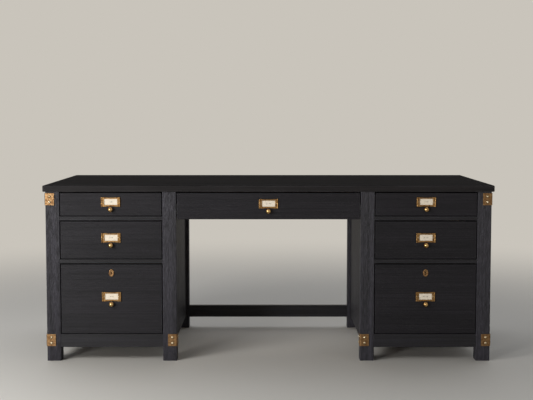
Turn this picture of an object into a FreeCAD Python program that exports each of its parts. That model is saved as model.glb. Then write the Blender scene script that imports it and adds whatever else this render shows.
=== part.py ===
import FreeCAD, Part
import os
import re

import Sketcher

# Executive desk in charcoal oak: two pedestals of three drawers under one top, and a shallow drawer between.
# Millimetres. +X is to the right, +Y to the back, +Z up. The origin is on the floor, under the desk's middle.

SIZES = {
    # The whole desk and its top
    "desk_height": 762,
    "top_width": 1940,
    "top_depth": 864,
    "top_thickness": 27,
    "top_corner_radius": 8,
    "top_edge_radius": 4,
    "side_overhang": 11,
    "front_overhang": 11,
    "rear_overhang": 30,
    # Pedestal frames
    "pedestal_width": 562,
    "leg_size": 60,
    "leg_corner_radius": 2.5,
    "foot_height": 60,
    "apron_height": 57,
    "apron_thickness": 22,
    "rail_thickness": 17,
    "rail_depth": 60,
    "tenon_length": 20,
    "tenon_shoulder": 4,
    "panel_thickness": 20,
    "panel_inset": 16,
    "groove_depth": 8,
    "back_thickness": 12,
    "floor_thickness": 12,
    "floor_lift": 12,
    # Knee space
    "back_rail_height": 120,
    "stretcher_thickness": 26,
    "stretcher_drop": 8,
    # Fixing of the top
    "cleat_thickness": 18,
    "cleat_width": 45,
    "top_screw_bite": 15,
    # Drawer openings and fronts
    "top_opening": 106.5,
    "middle_opening": 169,
    "centre_opening": 122,
    "drawer_gap": 3,
    "drawer_top_gap": 4.8,
    "drawer_recess": 1,
    "front_thickness": 20,
    "front_edge_radius": 1.2,
    # Drawer boxes
    "box_rear_gap": 134,
    "box_wall": 14,
    "box_back": 12,
    "box_bottom": 6,
    "box_groove": 6,
    "bottom_lift": 10,
    "box_lift": 8,
    "box_clearance": 4,
    "file_headroom": 60,
    "tail_length": 13,
    "tail_width": 24,
    "tail_flare": 3,
    "tail_pitch": 37,
    # Drawer slides
    "slide_thickness": 12.5,
    "slide_height": 44,
    "slide_wall": 1.5,
    "slide_clearance": 0.3,
    "flange_gap": 1,
    "slide_setback": 3,
    "slide_end_gap": 37,
    "slide_rise": 46,
    # Label holders
    "label_rise": 10,
    "frame_width": 83,
    "frame_height": 41,
    "frame_thickness": 3,
    "frame_waist": 2,
    "frame_ear": 9,
    "side_bar": 13.5,
    "top_bar": 7,
    "bottom_bar": 8,
    "bead_radius": 2.7,
    "card_recess": 1.2,
    "card_margin": 2,
    "pin_head_radius": 2,
    "pin_head_height": 1.1,
    "pin_radius": 0.9,
    "pin_length": 12,
    "pin_slot": 0.5,
    # Knobs
    "knob_drop": 32,
    "knob_radius": 11,
    "knob_projection": 24,
    "knob_neck_radius": 4.5,
    "knob_base_radius": 7.5,
    "knob_base_height": 2.5,
    "knob_screw_bite": 9,
    # Locks
    "plate_drop": 37,
    "plate_height": 32,
    "plate_width": 23,
    "plate_thickness": 2,
    "keyhole_radius": 3,
    "keyhole_slot": 3,
    "keyhole_length": 8,
    "case_width": 50,
    "case_thickness": 12,
    "case_margin": 15,
    "bolt_width": 16,
    "bolt_thickness": 5,
    "bolt_height": 34,
    "bolt_travel": 9,
    "bolt_clearance": 0.3,
    "strike_clearance": 1,
    # Corner straps
    "strap_reach": 38,
    "strap_height": 52,
    "strap_thickness": 3,
    "strap_drop": 6,
    "strap_screw_pitch": 24,
    "strap_screw_head_radius": 5.5,
    "strap_screw_head_height": 4,
    "strap_screw_length": 16,
    # Wood screws and their holes
    "screw_head_radius": 5,
    "screw_head_height": 3,
    "screw_radius": 2,
    "screw_slot": 1,
    "hole_clearance": 0.2,
    "overrun": 5,
}

TOP_SCREW_SHARES = (0.12, 0.5, 0.88)

doc = FreeCAD.newDocument("executive_desk")
sheet = doc.addObject("Spreadsheet::Sheet", "dims")
for row, (size_name, size) in enumerate(SIZES.items(), start=1):
    sheet.set(f"A{row}", size_name)
    sheet.set(f"B{row}", str(size))
    sheet.setAlias(f"B{row}", size_name)
doc.recompute()

X_AXIS = FreeCAD.Vector(1, 0, 0)
Y_AXIS = FreeCAD.Vector(0, 1, 0)
Z_AXIS = FreeCAD.Vector(0, 0, 1)
nodes = []


def bind(item, prop, rule):
    """Ties a property to the sheet: each word of the rule that names a size refers to its cell."""

    def cell(found):
        word = found.group()
        return f"dims.{word}" if word in SIZES else word

    item.setExpression(prop, re.sub(r"[a-z][a-z_]*", cell, str(rule)))


def move(item, x, y, z):
    bind(item, "Placement.Base.x", x)
    bind(item, "Placement.Base.y", y)
    bind(item, "Placement.Base.z", z)


def block(name, place, size):
    """A plain block, given its low corner and its size along X, Y and Z."""
    item = doc.addObject("Part::Box", name)
    for prop, rule in zip(("Length", "Width", "Height"), size):
        bind(item, prop, rule)
    move(item, *place)
    return item


def eased_block(name, place, size, rounds):
    """A block with rounded edges: rounds pairs each radius with a test that picks the edges it goes on."""
    body = doc.addObject("PartDesign::Body", name)
    feature = body.newObject("PartDesign::AdditiveBox", f"{name}_stock")
    for prop, rule in zip(("Length", "Width", "Height"), size):
        bind(feature, prop, rule)
    feature.recompute()
    for radius, picks in rounds:
        edges = []
        for number, edge in enumerate(feature.Shape.Edges, start=1):
            if picks(edge):
                edges.append(f"Edge{number}")
        ease = body.newObject("PartDesign::Fillet", f"{name}_ease")
        ease.Base = (feature, edges)
        bind(ease, "Radius", radius)
        ease.recompute()
        feature = ease
    move(body, *place)
    return body


def is_zero(length):
    return abs(length) < FreeCAD.Base.Precision.confusion()


def upright(edge):
    return is_zero(edge.BoundBox.XLength) and is_zero(edge.BoundBox.YLength)


def level(edge):
    return is_zero(edge.BoundBox.ZLength)


def on_front(edge):
    return is_zero(edge.BoundBox.YMin) and is_zero(edge.BoundBox.YMax)


def at_corner(edge):
    return upright(edge) and is_zero(edge.BoundBox.XMin) and is_zero(edge.BoundBox.YMin)


def post(name, place, radius, height):
    """An upright round bar, given the middle of its lower end."""
    item = doc.addObject("Part::Cylinder", name)
    bind(item, "Radius", radius)
    bind(item, "Height", height)
    move(item, *place)
    return item


def rod(name, place, radius, length):
    """A round bar that runs forwards, towards -Y, from the middle of its rear end."""
    item = post(name, place, radius, length)
    item.Placement.Rotation = FreeCAD.Rotation(X_AXIS, 90)
    return item


def join(name, items):
    item = doc.addObject("Part::MultiFuse", name)
    item.Shapes = items
    item.Refine = True
    return item


def cut(name, base, tools):
    """Cuts tools that stand clear of each other out of a piece."""
    item = doc.addObject("Part::Cut", name)
    item.Base = base
    item.Tool = gather(f"{name}_tools", tools)
    return item


def gather(name, items):
    """Separate solids that share one node, or one placement."""
    item = doc.addObject("Part::Compound", name)
    item.Links = items
    return item


def placed(name, items, place, turn=0):
    """A copy of finished pieces, turned about Z and moved to its place."""
    item = gather(name, items)
    item.Placement.Rotation = FreeCAD.Rotation(Z_AXIS, turn)
    move(item, *place)
    return item


def keep(label, item):
    """Makes a finished piece one of the desk's nodes."""
    item.Label = label
    nodes.append(item)
    return item


def tenoned(name, place, size):
    """A board between two legs, with a shouldered tenon on each end that enters the leg beside it."""
    x, y, z = place
    width, depth, height = size
    board = block(f"{name}_board", place, size)
    tenon = block(
        f"{name}_tenon",
        (f"{x} - tenon_length", f"{y} + tenon_shoulder", f"{z} + tenon_shoulder"),
        (f"{width} + 2 * tenon_length", f"{depth} - 2 * tenon_shoulder", f"{height} - 2 * tenon_shoulder"),
    )
    return join(f"{name}_joined", [board, tenon])


# Places that several pieces share, each worked out from the sizes above
front_reach = "(knob_projection - drawer_recess - front_overhang)"
top_front = f"(({front_reach} - top_depth) / 2)"
leg_front = f"({top_front} + front_overhang)"
leg_back = f"({leg_front} + leg_size)"
rear_back = f"({top_front} + top_depth - rear_overhang)"
rear_front = f"({rear_back} - leg_size)"
front_face = f"({leg_front} + drawer_recess)"
front_rear = f"({front_face} + front_thickness)"
back_front = f"({rear_back} - panel_inset - back_thickness)"
box_length = f"({back_front} - box_rear_gap - {front_rear})"
slide_length = f"({box_length} - slide_setback - slide_end_gap)"
leg_height = "(desk_height - top_thickness)"
desk_width = "(top_width - 2 * side_overhang)"
opening_width = "(pedestal_width - 2 * leg_size)"
knee_width = f"({desk_width} - 2 * pedestal_width)"
knee_left = f"(0 - {knee_width} / 2)"
panel_depth = "(panel_inset + panel_thickness)"
apron_top = "(foot_height + apron_height)"
upper_rail_z = f"({leg_height} - top_opening - rail_thickness)"
lower_rail_z = f"({upper_rail_z} - middle_opening - rail_thickness)"
panel_height = f"({leg_height} - foot_height)"

SIDES = ("left", "right")


def across(side, start, width):
    """The low X of something that starts this far inwards from its pedestal's outer face."""
    if side == "left":
        return f"(0 - {desk_width} / 2 + {start})"
    return f"({desk_width} / 2 - ({start}) - ({width}))"


# Screws: a domed, slotted head on a plain shank, standing on the origin with the head up
def dome_screw(name, head_radius, head_height, radius, length, slot):
    dome_radius = f"(({head_radius} ^ 2 + {head_height} ^ 2) / (2 * {head_height}))"
    dome = doc.addObject("Part::Sphere", f"{name}_dome")
    bind(dome, "Radius", dome_radius)
    bind(dome, "Angle1", f"asin(1 - {head_height} / {dome_radius})")
    move(dome, 0, 0, f"{head_height} - {dome_radius}")
    shank = post(f"{name}_shank", (0, 0, f"0 - {length}"), radius, length)
    slot_cut = block(
        f"{name}_slot",
        (f"0 - {head_radius}", f"0 - {slot} / 2", f"{head_height} / 2"),
        (f"2 * {head_radius}", slot, head_height),
    )
    return cut(name, join(f"{name}_blank", [dome, shank]), [slot_cut])


def facing(name, item, place, axis, angle):
    """A copy of an upright screw, turned to face another way."""
    turned = gather(name, [item])
    turned.Placement.Rotation = FreeCAD.Rotation(axis, angle)
    move(turned, *place)
    return turned


TO_FRONT = (X_AXIS, 90)
TO_REAR = (X_AXIS, -90)
TO_LEFT = (Y_AXIS, -90)


def wood_screw(name, length):
    return dome_screw(name, "screw_head_radius", "screw_head_height", "screw_radius", length, "screw_slot")


strap_screw = dome_screw(
    "strap_screw",
    "strap_screw_head_radius",
    "strap_screw_head_height",
    "screw_radius",
    "strap_screw_length",
    "screw_slot",
)
strap_hole = post(
    "strap_hole",
    (0, 0, "0 - strap_screw_length - hole_clearance"),
    "screw_radius + hole_clearance",
    "strap_screw_length + hole_clearance",
)

# Corner straps: a brass angle round the corner of a leg, two screws in each face.
# Each is made once round a corner at the origin, with the leg towards +X and +Y.
strap_outside = eased_block(
    "strap_outside",
    ("0 - strap_thickness", "0 - strap_thickness", 0),
    ("strap_reach + strap_thickness", "strap_reach + strap_thickness", "strap_height"),
    [("leg_corner_radius + strap_thickness", at_corner)],
)
strap_inside = eased_block(
    "strap_inside",
    (0, 0, "0 - overrun"),
    ("strap_reach + overrun", "strap_reach + overrun", "strap_height + 2 * overrun"),
    [("leg_corner_radius - hole_clearance", at_corner)],
)
set_screws = []
set_holes = []
for sign in ("-", "+"):
    height = f"(strap_height {sign} strap_screw_pitch) / 2"
    on_the_front = ("strap_reach / 2", "0 - strap_thickness", height)
    on_the_side = ("0 - strap_thickness", "strap_reach / 2", height)
    set_screws.append(facing("front_strap_screw", strap_screw, on_the_front, *TO_FRONT))
    set_screws.append(facing("side_strap_screw", strap_screw, on_the_side, *TO_LEFT))
    set_holes.append(facing("front_strap_hole", strap_hole, on_the_front, *TO_FRONT))
    set_holes.append(facing("side_strap_hole", strap_hole, on_the_side, *TO_LEFT))
strap_holes = gather("strap_holes", set_holes)
strap_angle = cut("strap_angle", strap_outside, [strap_inside])
strap = cut("strap", strap_angle, [strap_holes])

upper_strap_z = f"{leg_height} - strap_drop - strap_height"
lower_strap_z = f"{apron_top} - strap_height"
straps = []
all_strap_screws = []
leg_holes = {}


def fit_strap(leg, corner_x, corner_y, z, turn):
    """Wraps a strap round one corner of a leg, with its screws, and notes the holes that the leg needs."""
    place = (corner_x, corner_y, z)
    straps.append(placed(f"{leg}_strap", [strap], place, turn))
    all_strap_screws.append(placed(f"{leg}_strap_screws", set_screws, place, turn))
    leg_holes.setdefault(leg, []).append(placed(f"{leg}_strap_holes", [strap_holes], place, turn))


outer_left = f"(0 - {desk_width} / 2)"
outer_right = f"({desk_width} / 2)"
knee_right = f"({knee_width} / 2)"
for z in (upper_strap_z, lower_strap_z):
    fit_strap("left_front_outer_leg", outer_left, leg_front, z, 0)
    fit_strap("right_front_outer_leg", outer_right, leg_front, z, 90)
    fit_strap("right_rear_outer_leg", outer_right, rear_back, z, 180)
    fit_strap("left_rear_outer_leg", outer_left, rear_back, z, 270)
fit_strap("left_front_inner_leg", knee_left, leg_front, lower_strap_z, 90)
fit_strap("right_front_inner_leg", knee_right, leg_front, lower_strap_z, 0)
keep("corner_straps", gather("corner_straps", straps))
keep("strap_screws", gather("strap_screws", all_strap_screws))

# Knee space: a rail under the top and a low stretcher, both tenoned into the rear inner legs
back_rail = tenoned(
    "kneehole_back_rail",
    (knee_left, f"{rear_back} - {panel_depth}", f"{leg_height} - back_rail_height"),
    (knee_width, "panel_thickness", "back_rail_height"),
)
keep("kneehole_back_rail", back_rail)
stretcher = tenoned(
    "stretcher",
    (knee_left, f"{rear_front} + (leg_size - stretcher_thickness) / 2", "foot_height - stretcher_drop"),
    (knee_width, "stretcher_thickness", "apron_height"),
)
keep("stretcher", stretcher)

# Lock bolts need a mortise in the rail above each file drawer, on the drawer's centre line
case_y = f"({front_rear} - case_thickness)"
bolt_y = f"({case_y} + (case_thickness - bolt_thickness) / 2)"


def strike_mortise(side):
    width = "(bolt_width + 2 * strike_clearance)"
    return block(
        f"{side}_strike",
        (across(side, f"(pedestal_width - {width}) / 2", width), f"{bolt_y} - strike_clearance",
         f"{lower_rail_z} - overrun"),
        (width, "bolt_thickness + 2 * strike_clearance", "bolt_travel + overrun"),
    )


# Pedestals: legs grooved for the panels and mortised for the rails, with a back and a floor
upper_rails = []
lower_rails = []
back_panels = []
floor_panels = []
for side in SIDES:
    between_x = across(side, "leg_size", opening_width)
    apron = tenoned(
        f"{side}_apron",
        (between_x, front_face, "foot_height"),
        (opening_width, "apron_thickness", "apron_height"),
    )
    keep(f"{side}_apron", apron)
    rail_size = (opening_width, "rail_depth", "rail_thickness")
    upper_rail = tenoned(f"{side}_upper_rail", (between_x, front_face, upper_rail_z), rail_size)
    lower_rail = tenoned(f"{side}_lower_rail", (between_x, front_face, lower_rail_z), rail_size)
    lower_rail = cut(f"{side}_lower_rail_cut", lower_rail, [strike_mortise(side)])
    upper_rails.append(upper_rail)
    lower_rails.append(lower_rail)

    back_panel = block(
        f"{side}_back_panel",
        (across(side, "leg_size - groove_depth", f"{opening_width} + 2 * groove_depth"),
         back_front, "foot_height"),
        (f"{opening_width} + 2 * groove_depth", "back_thickness", panel_height),
    )
    back_panels.append(back_panel)

    panels = {}
    panel_starts = {"outer": "panel_inset", "inner": f"pedestal_width - {panel_depth}"}
    for which, start in panel_starts.items():
        panels[which] = block(
            f"{side}_{which}_panel",
            (across(side, start, "panel_thickness"), f"{leg_back} - groove_depth", "foot_height"),
            ("panel_thickness", f"{rear_front} - {leg_back} + 2 * groove_depth", panel_height),
        )

    leg_blanks = []
    leg_starts = {"outer": "0", "inner": "pedestal_width - leg_size"}
    leg_rows = {"front": leg_front, "rear": rear_front}
    for row_name, leg_y in leg_rows.items():
        for which, start in leg_starts.items():
            leg = f"{side}_{row_name}_{which}_leg"
            blank = eased_block(
                f"{leg}_blank",
                (across(side, start, "leg_size"), leg_y, 0),
                ("leg_size", "leg_size", leg_height),
                [("leg_corner_radius", upright)],
            )
            leg_blanks.append(blank)
            entering = [panels[which]] + leg_holes.get(leg, [])
            if row_name == "front":
                entering += [apron, upper_rail, lower_rail]
            else:
                entering.append(back_panel)
                if which == "inner":
                    entering += [back_rail, stretcher]
            keep(leg, cut(f"{leg}_cut", blank, entering))

    floor_start = f"{panel_depth} - groove_depth"
    floor_width = f"pedestal_width - 2 * ({floor_start})"
    floor_y = f"({front_face} + apron_thickness)"
    floor_blank = block(
        f"{side}_floor_blank",
        (across(side, floor_start, floor_width), floor_y, "foot_height + floor_lift"),
        (floor_width, f"{back_front} - {floor_y}", "floor_thickness"),
    )
    floor_panel = cut(f"{side}_floor", floor_blank, leg_blanks)
    floor_panels.append(floor_panel)
    for which, panel in panels.items():
        keep(f"{side}_{which}_side_panel", cut(f"{side}_{which}_side", panel, [floor_panel]))
keep("upper_rails", gather("upper_rails", upper_rails))
keep("lower_rails", gather("lower_rails", lower_rails))
keep("back_panels", gather("back_panels", back_panels))
keep("floor_panels", gather("floor_panels", floor_panels))

# Top: one slab, held by screws that come up through two cleats in each pedestal
top_blank = eased_block(
    "top_blank",
    ("0 - top_width / 2", top_front, leg_height),
    ("top_width", "top_depth", "top_thickness"),
    [("top_corner_radius", upright), ("top_edge_radius", level)],
)
top_screw_length = "(cleat_thickness + top_screw_bite)"
top_screw = wood_screw("top_screw", top_screw_length)
cleat_bottom = f"({leg_height} - cleat_thickness)"
cleats = []
top_screws = []
top_holes = []
for side in SIDES:
    cleat_length = f"(pedestal_width - 2 * {panel_depth})"
    cleat_x = across(side, panel_depth, cleat_length)
    for cleat_y in (leg_back, f"({rear_front} - cleat_width)"):
        holes = []
        for along_share in TOP_SCREW_SHARES:
            screw_x = f"{cleat_x} + {cleat_length} * {along_share}"
            screw_y = f"{cleat_y} + cleat_width / 2"
            place = (screw_x, screw_y, cleat_bottom)
            top_screws.append(facing(f"{side}_top_screw", top_screw, place, X_AXIS, 180))
            hole_length = f"{top_screw_length} + hole_clearance"
            holes.append(post(f"{side}_top_hole", place, "screw_radius + hole_clearance", hole_length))
        top_holes += holes
        cleat_size = (cleat_length, "cleat_width", "cleat_thickness")
        cleat = block(f"{side}_cleat", (cleat_x, cleat_y, cleat_bottom), cleat_size)
        cleats.append(cut(f"{side}_cleat_drilled", cleat, holes))
keep("desk_top", cut("top_drilled", top_blank, top_holes))
keep("top_cleats", gather("top_cleats", cleats))
keep("top_screws", gather("top_screws", top_screws))


# Slide members: a steel channel with its web on the plane X = 0, opening towards +X or -X
def channel(name, sign, depth, height):
    half = f"({height} / 2)"
    outline = [
        ("0", f"0 - {half}"),
        (f"{sign} * ({depth})", f"0 - {half}"),
        (f"{sign} * ({depth})", f"slide_wall - {half}"),
        (f"{sign} * slide_wall", f"slide_wall - {half}"),
        (f"{sign} * slide_wall", f"{half} - slide_wall"),
        (f"{sign} * ({depth})", f"{half} - slide_wall"),
        (f"{sign} * ({depth})", half),
        ("0", half),
    ]
    body = doc.addObject("PartDesign::Body", name)
    plane = [feature for feature in body.Origin.OriginFeatures if feature.Role == "XZ_Plane"][0]
    sketch = body.newObject("Sketcher::SketchObject", f"{name}_outline")
    sketch.AttachmentSupport = (plane, "")
    sketch.MapMode = "FlatFace"
    # The outline is first drawn roughly as it will be, so that its dimensions only have to adjust it
    flange = sign * SIZES["slide_thickness"]
    web = sign * SIZES["slide_wall"]
    lip = SIZES["slide_height"] / 2
    inner_lip = lip - SIZES["slide_wall"]
    rough = [
        (0, -lip), (flange, -lip), (flange, -inner_lip), (web, -inner_lip),
        (web, inner_lip), (flange, inner_lip), (flange, lip), (0, lip),
    ]
    corners = [FreeCAD.Vector(x, y, 0) for x, y in rough]
    count = len(corners)
    for number in range(count):
        sketch.addGeometry(Part.LineSegment(corners[number], corners[(number + 1) % count]))
    for number in range(count):
        sketch.addConstraint(Sketcher.Constraint("Coincident", number, 2, (number + 1) % count, 1))
    for number, (corner, rules) in enumerate(zip(corners, outline)):
        for kind, length, rule in zip(("DistanceX", "DistanceY"), (corner.x, corner.y), rules):
            place = sketch.addConstraint(Sketcher.Constraint(kind, -1, 1, number, 1, length))
            bind(sketch, f"Constraints[{place}]", rule)
    pad = body.newObject("PartDesign::Pad", f"{name}_pad")
    pad.Profile = sketch
    pad.Reversed = True
    bind(pad, "Length", slide_length)
    return body


cabinet_depth = "slide_thickness - slide_wall - flange_gap"
member_depth = "slide_thickness - slide_wall - slide_clearance"
member_height = "(slide_height - 2 * slide_wall - 2 * slide_clearance)"
cabinet_left = channel("cabinet_left", 1, cabinet_depth, "slide_height")
cabinet_right = channel("cabinet_right", -1, cabinet_depth, "slide_height")
member_left = channel("member_left", -1, member_depth, member_height)
member_right = channel("member_right", 1, member_depth, member_height)

# Label holder: a brass plate with a window, waisted above and below, and a bead down each side.
# It is made once, centred on the origin, with its back on the plane Y = 0.
half_width = "(frame_width / 2)"
half_height = "(frame_height / 2)"
waist_radius = f"((({half_width} - frame_ear) ^ 2 + frame_waist ^ 2) / (2 * frame_waist))"
frame_plate = block(
    "frame_plate",
    (f"0 - {half_width}", "0 - frame_thickness", f"0 - {half_height}"),
    ("frame_width", "frame_thickness", "frame_height"),
)
frame_window = block(
    "frame_window",
    (f"side_bar - {half_width}", "0 - frame_thickness - overrun", f"bottom_bar - {half_height}"),
    ("frame_width - 2 * side_bar", "frame_thickness + 2 * overrun", "frame_height - top_bar - bottom_bar"),
)
card_edge = "(side_bar - card_margin)"
card_pocket = block(
    "card_pocket",
    (f"{card_edge} - {half_width}", "0 - card_recess", f"bottom_bar - card_margin - {half_height}"),
    (f"frame_width - 2 * {card_edge}", "card_recess + overrun",
     "frame_height - top_bar - bottom_bar + 2 * card_margin"),
)
frame_opening = join("frame_opening", [frame_window, card_pocket])
waists = []
for sign in ("-", "+"):
    waist_z = f"0 {sign} ({half_height} + {waist_radius} - frame_waist)"
    waist_length = "frame_thickness + 2 * overrun"
    waists.append(rod("frame_waist_cut", (0, "overrun", waist_z), waist_radius, waist_length))
pin_x = f"({half_width} - side_bar / 2 - bead_radius)"
beads = []
pins = []
pin_holes = []
pin = dome_screw("label_pin", "pin_head_radius", "pin_head_height", "pin_radius", "pin_length", "pin_slot")
pin_hole_length = "pin_length + 2 * hole_clearance + overrun"
for sign in ("-", "+"):
    bead_x = f"0 {sign} ({half_width} - bead_radius)"
    bead_place = (bead_x, "0 - frame_thickness", f"0 - {half_height}")
    beads.append(post("frame_bead", bead_place, "bead_radius", "frame_height"))
    pin_place = (f"0 {sign} {pin_x}", "0 - frame_thickness", 0)
    pins.append(facing("frame_pin", pin, pin_place, *TO_FRONT))
    hole_place = (f"0 {sign} {pin_x}", "pin_length - frame_thickness + hole_clearance", 0)
    pin_holes.append(rod("frame_pin_hole", hole_place, "pin_radius + hole_clearance", pin_hole_length))
frame_bare = cut("frame_cut", frame_plate, [frame_opening] + waists)
frame_beaded = join("frame_beaded", [frame_bare] + beads)
label_frame = cut("label_frame", frame_beaded, pin_holes)

# Knob: a brass ball on a neck, held from inside the drawer by a screw through the front
knob_z = "0 - knob_drop"
neck_length = "(knob_projection - knob_radius)"
ball = doc.addObject("Part::Sphere", "knob_ball")
bind(ball, "Radius", "knob_radius")
move(ball, 0, f"0 - {neck_length}", knob_z)
neck = rod("knob_neck", (0, 0, knob_z), "knob_neck_radius", neck_length)
base = rod("knob_base", (0, 0, knob_z), "knob_base_radius", "knob_base_height")
knob_hole = rod(
    "knob_hole",
    (0, "front_thickness + overrun", knob_z),
    "screw_radius + hole_clearance",
    "front_thickness + overrun + knob_screw_bite + hole_clearance",
)
knob = cut("knob", join("knob_blank", [ball, neck, base]), [knob_hole])
knob_screw_upright = wood_screw("knob_screw", "(front_thickness + knob_screw_bite)")
knob_screw = facing("knob_screw_turned", knob_screw_upright, (0, "front_thickness", knob_z), *TO_REAR)
pull_pieces = [label_frame, knob, knob_screw] + pins
pull_holes = gather("pull_holes", [knob_hole] + pin_holes)

# Keyhole plate: an oval of brass with a keyhole, centred on the origin with its back on the plane Y = 0
oval = doc.addObject("Part::Ellipse", "plate_oval")
bind(oval, "MajorRadius", "plate_height / 2")
bind(oval, "MinorRadius", "plate_width / 2")
oval.Placement.Rotation = FreeCAD.Rotation(Z_AXIS, X_AXIS.negative(), Y_AXIS, "ZXY")
plate_blank = doc.addObject("Part::Extrusion", "plate_blank")
plate_blank.Base = oval
plate_blank.DirMode = "Custom"
plate_blank.Dir = Y_AXIS.negative()
plate_blank.Solid = True
bind(plate_blank, "LengthFwd", "plate_thickness")
key_depth = "(front_thickness - case_thickness + (case_thickness - bolt_thickness) / 4)"
key_length = f"{key_depth} + plate_thickness + overrun"
key_round = rod("key_round", (0, key_depth, "keyhole_radius"), "keyhole_radius", key_length)
key_slot = block(
    "key_slot",
    ("0 - keyhole_slot / 2", "0 - plate_thickness - overrun", "0 - keyhole_length"),
    ("keyhole_slot", key_length, "keyhole_length + keyhole_radius"),
)
keyhole = join("keyhole", [key_round, key_slot])
key_plate = cut("key_plate", plate_blank, [keyhole])


# Drawers: a front between the legs, and a box behind it that hangs on its slides
def drawer(name, opening_x, width, bottom, opening, headroom, cleat_depth, locked):
    front_x = f"({opening_x} + drawer_gap)"
    front_z = f"({bottom} + drawer_gap)"
    front_height = f"({opening} - drawer_gap - drawer_top_gap)"
    box_x = f"({opening_x} + slide_thickness)"
    box_width = f"({width} - 2 * slide_thickness)"
    box_z = f"({bottom} + box_lift)"
    box_height = f"({opening} - box_lift - {headroom})"
    inside_x = f"({box_x} + box_wall)"
    inside_width = f"({box_width} - 2 * box_wall)"
    box_rear = f"({front_rear} + {box_length})"

    base_z = f"({box_z} + bottom_lift)"
    base_panel = block(
        f"{name}_base",
        (f"{inside_x} - box_groove", f"{front_rear} - box_groove", base_z),
        (f"{inside_width} + 2 * box_groove", f"{box_length} + box_groove", "box_bottom"),
    )
    rear_board = block(
        f"{name}_rear_board",
        (f"{inside_x} - box_groove", f"{box_rear} - box_back", f"{base_z} + box_bottom"),
        (f"{inside_width} + 2 * box_groove", "box_back", f"{box_height} - bottom_lift - box_bottom"),
    )
    walls = []
    for wall_x in (box_x, f"({inside_x} + {inside_width})"):
        board = block(f"{name}_wall", (wall_x, front_rear, box_z), ("box_wall", box_length, box_height))
        board.recompute()
        tail_count = max(1, int(board.Height.Value / SIZES["tail_pitch"]))
        tails = []
        for number in range(tail_count):
            tail = doc.addObject("Part::Wedge", f"{name}_tail")
            for prop, rule in (
                ("Xmin", "0"), ("Xmax", "box_wall"), ("X2min", "0"), ("X2max", "box_wall"),
                ("Ymin", "0"), ("Ymax", "tail_length"),
                ("Zmin", "0"), ("Zmax", "tail_width"),
                ("Z2min", "tail_flare"), ("Z2max", "tail_width - tail_flare"),
            ):
                bind(tail, prop, rule)
            middle = f"{box_height} * {2 * number + 1} / {2 * tail_count}"
            move(tail, wall_x, f"{front_rear} - tail_length", f"{box_z} + {middle} - tail_width / 2")
            tails.append(tail)
        walls.append(join(f"{name}_tailed_wall", [board] + tails))
    box_walls = [cut(f"{name}_grooved_wall", wall, [base_panel, rear_board]) for wall in walls]
    keep(f"{name}_box", gather(f"{name}_box", box_walls + [rear_board, base_panel]))

    centre_x = f"({opening_x} + {width} / 2)"
    pull_place = (centre_x, front_face, f"{front_z} + {front_height} / 2 + label_rise")
    keep(f"{name}_pull", placed(f"{name}_pull", pull_pieces, pull_place))
    entering = box_walls + [base_panel, placed(f"{name}_pull_holes", [pull_holes], pull_place)]
    if locked:
        entering.append(fit_lock(name, centre_x, f"({front_z} + {front_height})"))
    front_blank = eased_block(
        f"{name}_front_blank",
        (front_x, front_face, front_z),
        (f"{width} - 2 * drawer_gap", "front_thickness", front_height),
        [("front_edge_radius", on_front)],
    )
    keep(f"{name}_front", cut(f"{name}_front_cut", front_blank, entering))

    slide_y = f"{front_rear} + slide_setback"
    slide_z = f"{bottom} + slide_rise"
    opening_right = f"({opening_x} + {width})"
    members = [
        placed(f"{name}_member", [member_left], (f"{opening_x} + slide_thickness", slide_y, slide_z)),
        placed(f"{name}_member", [member_right], (f"{opening_right} - slide_thickness", slide_y, slide_z)),
    ]
    keep(f"{name}_slides", gather(f"{name}_slides", members))
    cabinet_slides.append(placed(f"{name}_channel", [cabinet_left], (opening_x, slide_y, slide_z)))
    cabinet_slides.append(placed(f"{name}_channel", [cabinet_right], (opening_right, slide_y, slide_z)))
    for cleat_x in (f"{opening_x} - ({cleat_depth})", opening_right):
        slide_cleats.append(block(
            f"{name}_slide_cleat",
            (cleat_x, leg_back, f"{slide_z} - slide_height / 2"),
            (cleat_depth, f"{rear_front} - {leg_back}", "slide_height"),
        ))


def fit_lock(name, centre_x, front_top):
    """Lets a lock into the back of a front, and returns the mortise that the front needs for it."""
    case_height = "(plate_drop + case_margin)"
    case_blank = block(
        f"{name}_case",
        (f"{centre_x} - case_width / 2", case_y, f"{front_top} - {case_height}"),
        ("case_width", "case_thickness", case_height),
    )
    bolt = block(
        f"{name}_bolt",
        (f"{centre_x} - bolt_width / 2", bolt_y, f"{front_top} - bolt_height"),
        ("bolt_width", "bolt_thickness", "bolt_height"),
    )
    bolt_way = block(
        f"{name}_bolt_way",
        (f"{centre_x} - bolt_width / 2 - bolt_clearance", f"{bolt_y} - bolt_clearance",
         f"{front_top} - bolt_height - bolt_clearance"),
        ("bolt_width + 2 * bolt_clearance", "bolt_thickness + 2 * bolt_clearance", "bolt_height + overrun"),
    )
    plate_place = (centre_x, front_face, f"{front_top} - plate_drop")
    keyway = placed(f"{name}_keyway", [keyhole], plate_place)
    case = cut(f"{name}_lock_case", case_blank, [bolt_way, keyway])
    plate = placed(f"{name}_key_plate", [key_plate], plate_place)
    keep(f"{name}_lock", gather(f"{name}_lock", [case, plate]))
    keep(f"{name}_lock_bolt", bolt)
    return join(f"{name}_lock_mortise", [case_blank, keyway])


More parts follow.
